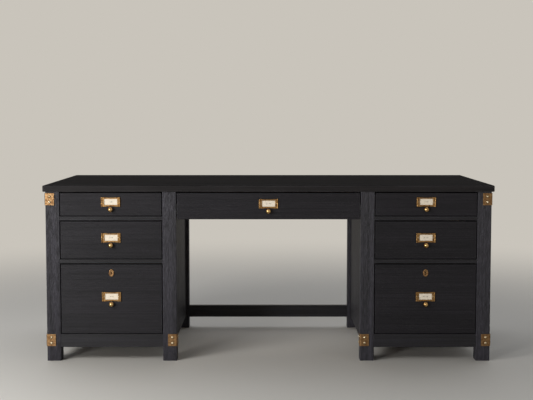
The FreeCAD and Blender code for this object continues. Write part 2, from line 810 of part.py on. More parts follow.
cabinet_slides = []
slide_cleats = []
small_headroom = "(cleat_thickness + box_clearance)"
pedestal_cleat = f"leg_size - {panel_depth}"
file_opening = f"({lower_rail_z} - {apron_top})"
for side in SIDES:
    opening_x = across(side, "leg_size", opening_width)
    rows = (
        ("top", f"({upper_rail_z} + rail_thickness)", "top_opening", small_headroom, False),
        ("middle", f"({lower_rail_z} + rail_thickness)", "middle_opening", small_headroom, False),
        ("file", apron_top, file_opening, "file_headroom", True),
    )
    for row_name, bottom, opening, headroom, locked in rows:
        name = f"{side}_{row_name}"
        drawer(name, opening_x, opening_width, bottom, opening, headroom, pedestal_cleat, locked)
centre_bottom = f"({leg_height} - centre_opening)"
drawer("centre", knee_left, knee_width, centre_bottom, "centre_opening", small_headroom, "panel_inset", False)
keep("cabinet_slides", gather("cabinet_slides", cabinet_slides))
keep("slide_cleats", gather("slide_cleats", slide_cleats))

# Every piece has to be sound before any of them is written
doc.recompute()
for item in doc.Objects:
    if "Invalid" in item.State or "Error" in item.State:
        raise RuntimeError(f"{item.Label} failed: {item.State}")
for item in nodes:
    if item.Shape.isNull() or not item.Shape.isValid() or not item.Shape.Solids:
        raise RuntimeError(f"{item.Label} is not a sound solid")
os.makedirs("parts", exist_ok=True)
for item in nodes:
    item.Shape.exportStep(f"parts/{item.Label}.step")
print(f"{len(nodes)} pieces, {sum(len(item.Shape.Solids) for item in nodes)} solids")
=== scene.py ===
import math

import bmesh
import bpy
from mathutils import Matrix, Vector


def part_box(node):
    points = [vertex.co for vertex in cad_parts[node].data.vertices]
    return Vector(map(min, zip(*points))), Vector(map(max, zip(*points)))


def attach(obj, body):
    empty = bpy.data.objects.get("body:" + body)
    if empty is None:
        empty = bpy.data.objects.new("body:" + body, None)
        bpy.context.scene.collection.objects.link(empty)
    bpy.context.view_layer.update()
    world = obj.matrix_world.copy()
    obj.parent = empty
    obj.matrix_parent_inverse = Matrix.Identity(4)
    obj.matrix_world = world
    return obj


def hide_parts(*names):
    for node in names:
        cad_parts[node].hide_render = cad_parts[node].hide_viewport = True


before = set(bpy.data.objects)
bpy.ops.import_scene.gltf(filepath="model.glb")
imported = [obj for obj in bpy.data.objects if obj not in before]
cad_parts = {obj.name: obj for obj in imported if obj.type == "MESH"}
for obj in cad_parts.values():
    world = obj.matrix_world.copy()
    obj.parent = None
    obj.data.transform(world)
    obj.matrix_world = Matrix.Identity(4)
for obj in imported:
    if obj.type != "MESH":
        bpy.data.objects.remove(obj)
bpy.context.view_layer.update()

# Legs: eight square oak posts with slightly eased corners, grooved and mortised for the panels and rails.
# The oak is stained charcoal and wire-brushed along its grain, so soft wood is worn into dark furrows
# between paler ridges; handling has rubbed the corners lighter still, and that paler corner colour is also
# a painted highlight where the corners catch the light.
# The legs' ridge colour is painted paler than the fronts', as a painted sheen that the upright brushed grain
# catches
LEG_RIDGE_AND_PAINTED_SHEEN = "#3d3b43"
LEG_FURROW = "#0f0e11"
RUBBED_EDGE_AND_HIGHLIGHT = "#6d6a6d"
SIDES = ("left", "right")
# Sizes of the grain, along it and across it, in metres. Brushed streaks and pores are drawn two to three
# times as coarse as in real oak, so that they show at this distance; the legs have shorter brush marks.
FIGURE = (1.1, 0.016)
STREAK = (0.3, 0.0048)
LEG_MARK = (0.038, 0.0062)
PORE = (0.016, 0.0009)
BLOTCH = (0.35, 0.11)
# Shares that figure, brush marks and the stain's blotches have in the tone, and how far one board differs
FIGURE_SHARE = 0.38
MARK_SHARE = 0.4
BLOTCH_SHARE = 0.22
BOARD_SHARE = 0.3
BOARD_SHIFT = (3, 3, 3)
PORE_SHARE = 0.55
PORE_SHADE = 0.35
PORE_SINK = -0.6
MATT_LOSS = -2.2
EDGE_FACING = (0.995, 0.8)
WORN_EDGE_AND_HIGHLIGHT = 0.0022
DEEP_BRUSHED = 0.0007


def linear(colour):
    """The linear RGBA of an sRGB hex colour."""
    parts = [int(colour[place:place + 2], 16) / 255 for place in (1, 3, 5)]
    return [part / 12.92 if part <= 0.04045 else ((part + 0.055) / 1.055) ** 2.4 for part in parts] + [1]


def node(tree, kind, inputs, **settings):
    """Adds a shader node with its settings; each input is a value, or the socket that feeds it."""
    made = tree.nodes.new("ShaderNode" + kind)
    for name, value in settings.items():
        setattr(made, name, value)
    for name, value in inputs.items():
        if isinstance(value, bpy.types.NodeSocket):
            tree.links.new(value, made.inputs[name])
        else:
            made.inputs[name].default_value = value
    return made


def edge_share(tree, radius):
    """How near a point is to an outer edge, from 0 to 1, and the normal as if that edge were eased."""
    eased = node(tree, "Bevel", {"Radius": radius}, samples=6).outputs[0]
    flat = node(tree, "NewGeometry", {}).outputs["Normal"]
    facing = node(tree, "VectorMath", {0: eased, 1: flat}, operation="DOT_PRODUCT").outputs["Value"]
    flush, turned_away = EDGE_FACING
    turned = node(tree, "MapRange", {"Value": facing, "From Min": flush, "From Max": turned_away})
    return turned.outputs[0], eased


def grained_wood(name, along, ridge, furrow, rubbed_edge_and_highlight, roughness, relief, shine=0.4, board=None, matt_face=0,
                 ease=WORN_EDGE_AND_HIGHLIGHT, marks=STREAK):
    """Wood with its grain along one axis and brush marks of one size; board gives the axis and width of the
    boards it is glued up from, matt_face dulls what faces upwards, and ease is the radius of the edges made
    paler by wear and by a painted highlight."""
    material = bpy.data.materials.new(name)
    material.use_nodes = True
    tree = material.node_tree
    shader = tree.nodes["Principled BSDF"]
    place = node(tree, "TexCoord", {}).outputs["Object"]
    board_tone = None
    if board:
        axis, width = board
        apart = node(tree, "SeparateXYZ", {0: place}).outputs[axis]
        count = node(tree, "Math", {0: apart, 1: 1 / width}, operation="MULTIPLY").outputs[0]
        number = node(tree, "Math", {0: count}, operation="FLOOR").outputs[0]
        chance = node(tree, "TexWhiteNoise", {"W": number}, noise_dimensions="1D")
        place = node(tree, "VectorMath", {0: chance.outputs["Color"], 1: BOARD_SHIFT, 2: place},
                     operation="MULTIPLY_ADD").outputs[0]
        board_tone = chance.outputs["Value"]
    shares = []
    for (length, width), low, high in ((FIGURE, 0.36, 0.64), (marks, 0.38, 0.64), (PORE, 0.56, 0.66),
                                       (BLOTCH, 0.35, 0.65)):
        scale = [1 / width] * 3
        scale["XYZ".index(along)] = 1 / length
        drawn_out = node(tree, "Mapping", {"Vector": place, "Scale": scale}).outputs[0]
        cloud = node(tree, "TexNoise", {"Vector": drawn_out, "Scale": 1, "Detail": 3, "Distortion": 0.15})
        level = node(tree, "MapRange", {"Value": cloud.outputs[0], "From Min": low, "From Max": high})
        shares.append(level.outputs[0])
    figure, streak, pore, blotch = shares
    tone = 0
    for part, share in ((figure, FIGURE_SHARE), (streak, MARK_SHARE), (blotch, BLOTCH_SHARE)):
        tone = node(tree, "Math", {0: part, 1: share, 2: tone}, operation="MULTIPLY_ADD").outputs[0]
    if board_tone:
        tone = node(tree, "Math", {0: board_tone, 1: BOARD_SHARE, 2: tone}, operation="MULTIPLY_ADD")
        tone = node(tree, "Math", {0: tone.outputs[0], 1: BOARD_SHARE / 2}, operation="SUBTRACT",
                    use_clamp=True).outputs[0]
    colour = node(tree, "Mix", {0: tone, 6: linear(furrow), 7: linear(ridge)}, data_type="RGBA").outputs[2]
    sunk = node(tree, "Math", {0: pore, 1: PORE_SHARE}, operation="MULTIPLY").outputs[0]
    shade = [part * PORE_SHADE for part in linear(furrow)[:3]] + [1]
    colour = node(tree, "Mix", {0: sunk, 6: colour, 7: shade}, data_type="RGBA").outputs[2]
    # Edges are mixed towards a paler colour: partly wear, partly a painted highlight along the arrises
    near_edge, eased = edge_share(tree, ease)
    patchy = node(tree, "Math", {0: blotch, 1: 0.5, 2: 0.2}, operation="MULTIPLY_ADD").outputs[0]
    wear_and_highlight = node(tree, "Math", {0: near_edge, 1: patchy}, operation="MULTIPLY").outputs[0]
    colour = node(tree, "Mix", {0: wear_and_highlight, 6: colour, 7: linear(rubbed_edge_and_highlight)}, data_type="RGBA").outputs[2]
    tree.links.new(colour, shader.inputs["Base Color"])
    height = node(tree, "Math", {0: pore, 1: PORE_SINK, 2: streak}, operation="MULTIPLY_ADD").outputs[0]
    bump = node(tree, "Bump", {"Height": height, "Strength": 1, "Distance": relief, "Normal": eased})
    tree.links.new(bump.outputs[0], shader.inputs["Normal"])
    dull = node(tree, "MapRange", {"Value": streak, "To Min": roughness + 0.08, "To Max": roughness - 0.06})
    flat = node(tree, "NewGeometry", {}).outputs["Normal"]
    upward = node(tree, "SeparateXYZ", {0: flat}).outputs["Z"]
    dull = node(tree, "Math", {0: upward, 1: matt_face, 2: dull.outputs[0]}, operation="MULTIPLY_ADD")
    tree.links.new(dull.outputs[0], shader.inputs["Roughness"])
    grain = node(tree, "CombineXYZ", {along: 1}).outputs[0]
    across = node(tree, "VectorMath", {0: flat, 1: grain}, operation="CROSS_PRODUCT").outputs[0]
    tree.links.new(across, shader.inputs["Tangent"])
    shader.inputs["Anisotropic"].default_value = 0.6
    shader.inputs["IOR"].default_value = 1.45
    shader.inputs["Specular IOR Level"].default_value = shine
    if matt_face:
        loss = MATT_LOSS * matt_face * shine
        gloss = node(tree, "Math", {0: upward, 1: loss, 2: shine}, operation="MULTIPLY_ADD").outputs[0]
        tree.links.new(gloss, shader.inputs["Specular IOR Level"])
    return material


def dress(names, material):
    """Gives CAD nodes their material."""
    for name in names:
        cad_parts[name].material_slots[0].material = material


# Matt-oiled oak: a dull sheen that runs along the ridges, and dark furrows that break it up; part of the
# sheen is painted into the legs' paler ridge colour
upright_oak = grained_wood("charcoal_oak_upright_painted_sheen", "Z", LEG_RIDGE_AND_PAINTED_SHEEN, LEG_FURROW, RUBBED_EDGE_AND_HIGHLIGHT, roughness=0.5,
                           relief=DEEP_BRUSHED, shine=0.33, marks=LEG_MARK)
leg_names = [f"{side}_{row}_{which}_leg" for side in SIDES for row in ("front", "rear")
             for which in ("outer", "inner")]
dress(leg_names, upright_oak)

# Panels: each pedestal's sides, back and floor, of narrower boards glued edge to edge and let into grooves.
# They stand back from the legs' faces and keep the same stained and brushed finish, with the boards upright.
PANEL_RIDGE = "#363439"
PANEL_FURROW = "#1b1a1c"
PANEL_BOARD = 0.112
BRUSHED = 0.0003
# The same oak, a little duller where hands and cloths seldom reach
side_oak = grained_wood("charcoal_oak_side_boards", "Z", PANEL_RIDGE, PANEL_FURROW, RUBBED_EDGE_AND_HIGHLIGHT,
                        roughness=0.52, relief=BRUSHED, shine=0.25, board=("Y", PANEL_BOARD))
back_oak = grained_wood("charcoal_oak_back_boards", "Z", PANEL_RIDGE, PANEL_FURROW, RUBBED_EDGE_AND_HIGHLIGHT,
                        roughness=0.52, relief=BRUSHED, shine=0.25, board=("X", PANEL_BOARD))
dress([f"{side}_{which}_side_panel" for side in SIDES for which in ("outer", "inner")], side_oak)
dress(["back_panels"], back_oak)

# Rails: aprons, drawer rails, the rail behind the knee space and the low stretcher, tenoned into the legs.
# Each is one board with its grain across the desk, and its edges are tight against the drawers.
RAIL_RIDGE = "#252429"
RAIL_FURROW = "#141315"
# Edges of rails and fronts are paler, from wear and from a painted highlight along the arrises
TIGHT_EDGE_AND_HIGHLIGHT = "#454346"
TIGHT_WEAR_AND_HIGHLIGHT = 0.0008
# The same oak lying level: its ridges catch the light as long thin lines
level_oak = grained_wood("charcoal_oak_level", "X", RAIL_RIDGE, RAIL_FURROW, TIGHT_EDGE_AND_HIGHLIGHT, roughness=0.5,
                         relief=BRUSHED, shine=0.34, ease=TIGHT_WEAR_AND_HIGHLIGHT)
rail_names = ["left_apron", "right_apron", "upper_rails", "lower_rails", "kneehole_back_rail", "stretcher"]
dress(rail_names, level_oak)

# Framing out of sight: pedestal floors, the cleats that hold the top and the strips behind the slides.
# Poplar boards, planed but not brushed, let in or screwed where they are needed.
POPLAR_PALE = "#5b4c3e"
POPLAR_DARK = "#43372d"
POPLAR_EDGE = "#776655"
# A thin brown stain leaves the poplar flat and dull
framing_wood = grained_wood("stained_poplar", "Y", POPLAR_PALE, POPLAR_DARK, POPLAR_EDGE, roughness=0.62,
                            relief=0.0001, board=("X", 0.09))
dress(["floor_panels", "top_cleats", "slide_cleats"], framing_wood)

# Top: one wide slab of oak boards glued edge to edge, with softly rounded corners and edges.
# Wear and wiping have left its face quite matt, and its edges are rubbed the most; their paler colour
# is partly a painted highlight.
TOP_RIDGE = "#2b2829"
TOP_FURROW = "#161515"
TOP_RUBBED_AND_HIGHLIGHT = "#8f8c90"
TOP_EDGE_WEAR_AND_HIGHLIGHT = 0.007
# The same oak rubbed matt: the face stays dark and even, and the arris shows as a paler line, worn and
# painted as a highlight
top_oak = grained_wood("charcoal_oak_top_boards", "X", TOP_RIDGE, TOP_FURROW, TOP_RUBBED_AND_HIGHLIGHT, roughness=0.5,
                       relief=0.0002, shine=0.16, board=("Y", 0.123), matt_face=0.35, ease=TOP_EDGE_WEAR_AND_HIGHLIGHT)
dress(["desk_top"], top_oak)

# Corner straps: brass angles wrapped round the legs' corners, each held by two domed screws in each face.
# The brass was hammered lightly, then left to brown; corners and high spots have been rubbed back to gold.
BRASS_BRIGHT = "#937451"
BRASS_BROWN = "#604228"
PATINA_PATCH = 0.011
HAMMER_MARK = 0.0065
TARNISH_SPECK = 0.0016
# Crevices within this reach are darkened towards this colour: grime, and painted shade where shadows fall
CREVICE = 0.006
CREVICE_DIRT_AND_SHADE = "#2a1b10"
METAL_WEAR = 0.0009
SCREW_BRIGHT = "#e6d8ba"
SCREW_BROWN = "#b89f76"


def brass(name, bright, brown, roughness, relief):
    """Brass with brown patina in patches and specks, hammer marks, rubbed edges, and crevices darkened by
    grime and painted shade.
    """
    material = bpy.data.materials.new(name)
    material.use_nodes = True
    tree = material.node_tree
    shader = tree.nodes["Principled BSDF"]
    place = node(tree, "TexCoord", {}).outputs["Object"]
    patch = node(tree, "TexNoise", {"Vector": place, "Scale": 1 / PATINA_PATCH, "Detail": 4,
                                    "Roughness": 0.6}).outputs[0]
    patina = node(tree, "MapRange", {"Value": patch, "From Min": 0.42, "From Max": 0.6}).outputs[0]
    speckle = node(tree, "TexNoise", {"Vector": place, "Scale": 1 / TARNISH_SPECK, "Detail": 2}).outputs[0]
    specks = node(tree, "MapRange", {"Value": speckle, "From Min": 0.58, "From Max": 0.7,
                                     "To Max": 0.5}).outputs[0]
    near_edge, eased = edge_share(tree, METAL_WEAR)
    brownness = node(tree, "Math", {0: patina, 1: 0.75, 2: specks}, operation="MULTIPLY_ADD").outputs[0]
    brownness = node(tree, "Math", {0: near_edge, 1: -0.8, 2: brownness}, operation="MULTIPLY_ADD",
                     use_clamp=True).outputs[0]
    colour = node(tree, "Mix", {0: brownness, 6: linear(bright), 7: linear(brown)},
                  data_type="RGBA").outputs[2]
    # Enclosed spots are darkened: grime, and painted shade round the screw domes and beads
    open_share = node(tree, "AmbientOcclusion", {"Distance": CREVICE}, samples=8).outputs["AO"]
    dirt_and_shade = node(tree, "MapRange", {"Value": open_share, "From Min": 0.95, "From Max": 0.55,
                                   "To Max": 0.85}).outputs[0]
    colour = node(tree, "Mix", {0: dirt_and_shade, 6: colour, 7: linear(CREVICE_DIRT_AND_SHADE)}, data_type="RGBA").outputs[2]
    tree.links.new(colour, shader.inputs["Base Color"])
    dull = node(tree, "MapRange", {"Value": brownness, "To Min": roughness, "To Max": roughness + 0.2})
    tree.links.new(dull.outputs[0], shader.inputs["Roughness"])
    dints = node(tree, "TexVoronoi", {"Vector": place, "Scale": 1 / HAMMER_MARK, "Smoothness": 0.6},
                 feature="SMOOTH_F1").outputs["Distance"]
    height = node(tree, "Math", {0: speckle, 1: 0.12, 2: dints}, operation="MULTIPLY_ADD").outputs[0]
    bump = node(tree, "Bump", {"Height": height, "Strength": 1, "Distance": relief, "Normal": eased})
    tree.links.new(bump.outputs[0], shader.inputs["Normal"])
    shader.inputs["Metallic"].default_value = 1
    return material


# Aged brass: warm and uneven, with broad soft highlights
aged_brass = brass("aged_brass", BRASS_BRIGHT, BRASS_BROWN, roughness=0.37, relief=0.0002)
# Bright brass of the screw heads: each dome catches one small highlight
bright_brass = brass("bright_brass", SCREW_BRIGHT, SCREW_BROWN, roughness=0.27, relief=0.00004)
dress(["corner_straps"], aged_brass)
dress(["strap_screws"], bright_brass)

# Drawer fronts: oak boards with eased front edges, their grain level, glued to the dovetailed boxes behind.
# They lie a millimetre behind the legs' faces, and look darker than the legs because their grain runs across,
# and because the legs' colour is painted paler as sheen.
FRONT_RIDGE = "#201e23"
FRONT_FURROW = "#100f13"
ROWS = ("top", "middle", "file")
DRAWERS = [f"{side}_{row}" for side in SIDES for row in ROWS] + ["centre"]
# The same oak lying level: soft long streaks, and a sheen where the lamps stand
front_oak = grained_wood("charcoal_oak_fronts", "X", FRONT_RIDGE, FRONT_FURROW, TIGHT_EDGE_AND_HIGHLIGHT, roughness=0.5,
                         relief=BRUSHED, shine=0.29, board=("Z", 0.104), ease=TIGHT_WEAR_AND_HIGHLIGHT)
dress([f"{name}_front" for name in DRAWERS], front_oak)

# Drawer boxes: birch sides dovetailed into the front, a back and a thin bottom in grooves.
# The grain is fine and close, and runs from front to back.
BIRCH_PALE = "#d9bd92"
BIRCH_DARK = "#bb9968"
BIRCH_EDGE = "#e4d0ae"
# Clear lacquer on planed birch: pale, smooth and slightly shiny
box_birch = grained_wood("lacquered_birch", "Y", BIRCH_PALE, BIRCH_DARK, BIRCH_EDGE, roughness=0.42,
                         relief=0.00006)
dress([f"{name}_box" for name in DRAWERS], box_birch)

# Slides: rolled steel channels, one screwed inside the pedestal and one on the drawer, nested in each other.
# Rolling leaves faint streaks along them.
ZINC_BRIGHT = "#c6cacd"
ZINC_DULL = "#9a9fa4"
ROLLING_STREAK = (0.09, 0.0012)
ROLLING_RELIEF = 0.00004
# Zinc plating gives a bluish, slightly streaked shine
zinc_steel = bpy.data.materials.new("zinc_plated_steel")
zinc_steel.use_nodes = True
tree = zinc_steel.node_tree
shader = tree.nodes["Principled BSDF"]
place = node(tree, "TexCoord", {}).outputs["Object"]
length, width = ROLLING_STREAK
drawn_out = node(tree, "Mapping", {"Vector": place, "Scale": (1 / width, 1 / length, 1 / width)}).outputs[0]
streaks = node(tree, "TexNoise", {"Vector": drawn_out, "Scale": 1, "Detail": 3}).outputs[0]
colour = node(tree, "Mix", {0: streaks, 6: linear(ZINC_DULL), 7: linear(ZINC_BRIGHT)},
              data_type="RGBA").outputs[2]
tree.links.new(colour, shader.inputs["Base Color"])
dull = node(tree, "MapRange", {"Value": streaks, "To Min": 0.45, "To Max": 0.25}).outputs[0]
tree.links.new(dull, shader.inputs["Roughness"])
bump = node(tree, "Bump", {"Height": streaks, "Strength": 1, "Distance": ROLLING_RELIEF})
tree.links.new(bump.outputs[0], shader.inputs["Normal"])
shader.inputs["Metallic"].default_value = 1
dress(["cabinet_slides", "top_screws"] + [f"{name}_slides" for name in DRAWERS], zinc_steel)

# Label holders: cast brass frames with a window, hollowed a little above and below, a bead down each side.
# A pocket behind the window takes the card, and a slotted pin at each side holds the frame to the front.
HOLDER_HALF = (0.0415, 0.0205)
HOLDER_THICKNESS = 0.003
HOLDER_EAR = 0.009
HOLDER_WAIST = 0.002
WINDOW_HALF = 0.028
WINDOW_TOP = 0.0135
WINDOW_BOTTOM = -0.0125
POCKET_MARGIN = 0.002
POCKET_DEPTH = 0.0012
HOLDER_EASE = 0.0004
HOLDER_STEPS = 15
BEAD_RADIUS = 0.0027
BEAD_EASE = 0.0009
PIN_PLACE = 0.03205
PIN_RADIUS = 0.002
PIN_HEIGHT = 0.0011
PIN_SLOT = 0.0005
KNOB_PROJECTION = 0.024
FRAME_BRIGHT = "#a27f51"
FRAME_BROWN = "#5f3f20"
SHARP_ANGLE = math.radians(35)
TOUCHING = 0.00001
FACE_FORWARDS = Matrix.Rotation(math.radians(90), 4, "X")
FACE_BACKWARDS = Matrix.Rotation(math.radians(-90), 4, "X")


def next_loop(shape, edges, half_width, top, bottom, y):
    """Draws the last loop of a frame on to a new one of another width, height and depth."""
    reach = max(vert.co.x for edge in edges for vert in edge.verts)
    drawn = bmesh.ops.extrude_edge_only(shape, edges=edges)["geom"]
    for vert in drawn:
        if isinstance(vert, bmesh.types.BMVert):
            vert.co = (vert.co.x / reach * half_width, y, top if vert.co.z > 0 else bottom)
    return [edge for edge in drawn if isinstance(edge, bmesh.types.BMEdge)]


def waisted(vert):
    """Hollows the top and bottom of a holder's outline between its ears."""
    share = min(1, abs(vert.co.x) / (HOLDER_HALF[0] - HOLDER_EAR))
    vert.co.z -= math.copysign(HOLDER_WAIST * (1 - share ** 2), vert.co.z)


def ease_edges(shape, offset, segments=2):
    """Rounds every sharp edge of a shape."""
    joined = [edge for edge in shape.edges if len(edge.link_faces) == 2]
    sharp = [edge for edge in joined if edge.calc_face_angle() > SHARP_ANGLE]
    bmesh.ops.bevel(shape, geom=sharp, offset=offset, segments=segments, profile=0.5, affect="EDGES",
                    material=-1)


def slotted_head(shape, radius, height, slot, turn):
    """A domed screw head with a slot, standing on the origin and then turned and moved into place."""
    base = bmesh.ops.create_cone(shape, cap_ends=True, segments=24, radius1=radius, radius2=radius,
                                 depth=height / 2)
    bmesh.ops.translate(shape, verts=base["verts"], vec=(0, 0, height / 4))
    dome = bmesh.ops.create_uvsphere(shape, u_segments=24, v_segments=12, radius=radius)["verts"]
    bmesh.ops.scale(shape, verts=dome, vec=(1, 1, height / radius))
    parts = dome + list(dict.fromkeys(edge for vert in dome for edge in vert.link_edges))
    parts += list(dict.fromkeys(face for vert in dome for face in vert.link_faces))
    upper = bmesh.ops.bisect_plane(shape, geom=parts, plane_co=(0, 0, height / 2), plane_no=(0, 0, 1),
                                   clear_inner=True)
    half = bmesh.ops.bisect_plane(shape, geom=[part for part in upper["geom"] if part.is_valid],
                                  plane_co=(0, slot / 2, 0), plane_no=(0, 1, 0), clear_inner=True)
    kept = [part for part in half["geom"] if part.is_valid]
    rim = [edge for edge in kept if isinstance(edge, bmesh.types.BMEdge) and edge.is_boundary]
    kept += bmesh.ops.holes_fill(shape, edges=rim)["faces"]
    bmesh.ops.mirror(shape, geom=kept, axis="Y", merge_dist=0)
    bmesh.ops.transform(shape, verts=shape.verts, matrix=turn)


def piece(name, shape, material, body, smooth=False):
    """Makes a finished shape one piece of the desk, riding on a body."""
    bmesh.ops.recalc_face_normals(shape, faces=shape.faces)
    mesh = bpy.data.meshes.new(name)
    shape.to_mesh(mesh)
    mesh.materials.append(material)
    if smooth:
        mesh.shade_smooth()
    made = bpy.data.objects.new(name, mesh)
    bpy.context.scene.collection.objects.link(made)
    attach(made, body)
    return made


# Browned brass: dark in the hollows from patina, grime and painted shade, with gold left on the beads and
# edges
browned_brass = brass("browned_brass", FRAME_BRIGHT, FRAME_BROWN, roughness=0.3, relief=0.0001)
half_width, half_height = HOLDER_HALF
holder = bmesh.new()
corners = bmesh.ops.create_circle(holder, segments=4, radius=math.sqrt(2))["verts"]
bmesh.ops.rotate(holder, verts=corners, matrix=Matrix.Rotation(math.radians(45), 3, "Z"))
bmesh.ops.transform(holder, verts=corners, matrix=FACE_FORWARDS)
for vert in holder.verts:
    vert.co = (math.copysign(half_width, vert.co.x), 0, math.copysign(half_height, vert.co.z))
level_edges = [edge for edge in holder.edges if edge.verts[0].co.z * edge.verts[1].co.z > 0]
bmesh.ops.subdivide_edges(holder, edges=level_edges, cuts=HOLDER_STEPS)
back_loop = list(holder.edges)
front_loop = next_loop(holder, back_loop, half_width, half_height, -half_height, -HOLDER_THICKNESS)
window_loop = next_loop(holder, front_loop, WINDOW_HALF, WINDOW_TOP, WINDOW_BOTTOM, -HOLDER_THICKNESS)
inner_loop = next_loop(holder, window_loop, WINDOW_HALF, WINDOW_TOP, WINDOW_BOTTOM, -POCKET_DEPTH)
pocket = (WINDOW_HALF + POCKET_MARGIN, WINDOW_TOP + POCKET_MARGIN, WINDOW_BOTTOM - POCKET_MARGIN)
pocket_loop = next_loop(holder, inner_loop, *pocket, -POCKET_DEPTH)
rear_loop = next_loop(holder, pocket_loop, *pocket, 0)
bmesh.ops.bridge_loops(holder, edges=rear_loop + back_loop)
for vert in holder.verts:
    if abs(vert.co.z) > half_height - TOUCHING:
        waisted(vert)
bmesh.ops.recalc_face_normals(holder, faces=holder.faces)
ease_edges(holder, HOLDER_EASE)
for sign in (-1, 1):
    bead = bmesh.ops.create_cone(holder, cap_ends=True, segments=28, radius1=BEAD_RADIUS, radius2=BEAD_RADIUS,
                                 depth=2 * half_height)["verts"]
    bmesh.ops.translate(holder, verts=bead, vec=(sign * (half_width - BEAD_RADIUS), -HOLDER_THICKNESS, 0))
    rims = dict.fromkeys(edge for vert in bead for edge in vert.link_edges)
    ends = [edge for edge in rims if abs(edge.verts[0].co.z - edge.verts[1].co.z) < TOUCHING]
    bmesh.ops.bevel(holder, geom=ends, offset=BEAD_EASE, segments=3, profile=0.5, affect="EDGES", material=-1)
pin_pair = bmesh.new()
for sign in (-1, 1):
    pin = bmesh.new()
    slotted_head(pin, PIN_RADIUS, PIN_HEIGHT, PIN_SLOT,
                 Matrix.Translation((sign * PIN_PLACE, -HOLDER_THICKNESS, 0)) @ FACE_FORWARDS)
    pin_mesh = bpy.data.meshes.new("pin")
    pin.to_mesh(pin_mesh)
    pin_pair.from_mesh(pin_mesh)
    bpy.data.meshes.remove(pin_mesh)

# Knobs: turned brass balls on a short neck and a round foot, held by a screw from inside the drawer.
# Hands keep them brighter than the frames above them.
KNOB_DROP = 0.032
KNOB_RADIUS = 0.011
NECK_RADIUS = 0.0045
FOOT_RADIUS = 0.0075
FOOT_HEIGHT = 0.0025
FRONT_THICKNESS = 0.02
KNOB_BRIGHT = "#d3af78"
KNOB_BROWN = "#9c7542"
KNOB_SCREW_RADIUS = 0.005
KNOB_SCREW_HEIGHT = 0.003
KNOB_SCREW_SLOT = 0.001
# Polished brass: small sharp highlights on the ball, and a little brown in patches
polished_brass = brass("polished_brass", KNOB_BRIGHT, KNOB_BROWN, roughness=0.17, relief=0.00003)
knob = bmesh.new()
ball_centre = KNOB_RADIUS - KNOB_PROJECTION
tip = bmesh.ops.create_vert(knob, co=(0, -KNOB_PROJECTION, 0))["vert"]
neck_angle = math.pi - math.asin(NECK_RADIUS / KNOB_RADIUS)
arc = bmesh.ops.spin(knob, geom=tip, cent=(0, ball_centre, 0), axis=(1, 0, 0), dvec=(0, 0, 0),
                     angle=-neck_angle, steps=22, use_duplicate=False)
last = [vert for vert in arc["geom_last"] if isinstance(vert, bmesh.types.BMVert)][0]
outwards = math.copysign(1, last.co.z)
for radius, y in ((NECK_RADIUS * 0.92, ball_centre / 2), (NECK_RADIUS, -FOOT_HEIGHT * 1.5),
                  (FOOT_RADIUS * 0.82, -FOOT_HEIGHT), (FOOT_RADIUS, -FOOT_HEIGHT * 0.6), (FOOT_RADIUS, 0)):
    drawn = bmesh.ops.extrude_vert_indiv(knob, verts=[last])
    last = drawn["verts"][0]
    last.co = (0, y, outwards * radius)
bmesh.ops.spin(knob, geom=knob.verts[:] + knob.edges[:], cent=(0, 0, 0), axis=(0, 1, 0), dvec=(0, 0, 0),
               angle=math.tau, steps=40, use_merge=True, use_duplicate=False)
bmesh.ops.remove_doubles(knob, verts=knob.verts, dist=TOUCHING)
bmesh.ops.translate(knob, verts=knob.verts, vec=(0, 0, -KNOB_DROP))
knob_screw = bmesh.new()
slotted_head(knob_screw, KNOB_SCREW_RADIUS, KNOB_SCREW_HEIGHT, KNOB_SCREW_SLOT,
             Matrix.Translation((0, FRONT_THICKNESS, -KNOB_DROP)) @ FACE_BACKWARDS)

# Cards: cut from cream paper and slipped into the pocket behind each holder's window.
# A plain range of file numbers is printed small in the middle of each.
CARD_THICKNESS = 0.0004
CARD_GAP = 0.0003
CARD_EASE = 0.0001
POCKET_SHARE = 1.4
NUMBER_HEIGHT = 0.0072
INK_GAP = 0.00003
PAPER_PALE = "#f1e7d6"
PAPER_YELLOWED = "#ddcaaa"
INK_DARK = "#3f3b38"
INK_PALE = "#7c756d"
PAPER_FIBRE = (0.0035, 0.0007)
FIBRE_RELIEF = 0.00005
# Uncoated paper: bright and quite matt, a little mottled by fibres and yellowing
card_paper = bpy.data.materials.new("cream_card")
card_paper.use_nodes = True
tree = card_paper.node_tree
shader = tree.nodes["Principled BSDF"]
place = node(tree, "TexCoord", {}).outputs["Object"]
length, width = PAPER_FIBRE
drawn_out = node(tree, "Mapping", {"Vector": place, "Scale": (1 / length, 1 / width, 1 / width)}).outputs[0]
fibre = node(tree, "TexNoise", {"Vector": drawn_out, "Scale": 1, "Detail": 4}).outputs[0]
yellowing = node(tree, "TexNoise", {"Vector": place, "Scale": 60, "Detail": 2}).outputs[0]
mottle = node(tree, "Math", {0: fibre, 1: yellowing}, operation="MULTIPLY").outputs[0]
colour = node(tree, "Mix", {0: mottle, 6: linear(PAPER_PALE), 7: linear(PAPER_YELLOWED)},
              data_type="RGBA").outputs[2]
tree.links.new(colour, shader.inputs["Base Color"])
bump = node(tree, "Bump", {"Height": fibre, "Strength": 0.6, "Distance": FIBRE_RELIEF})
tree.links.new(bump.outputs[0], shader.inputs["Normal"])
shader.inputs["Roughness"].default_value = 0.82
shader.inputs["Specular IOR Level"].default_value = 0.25
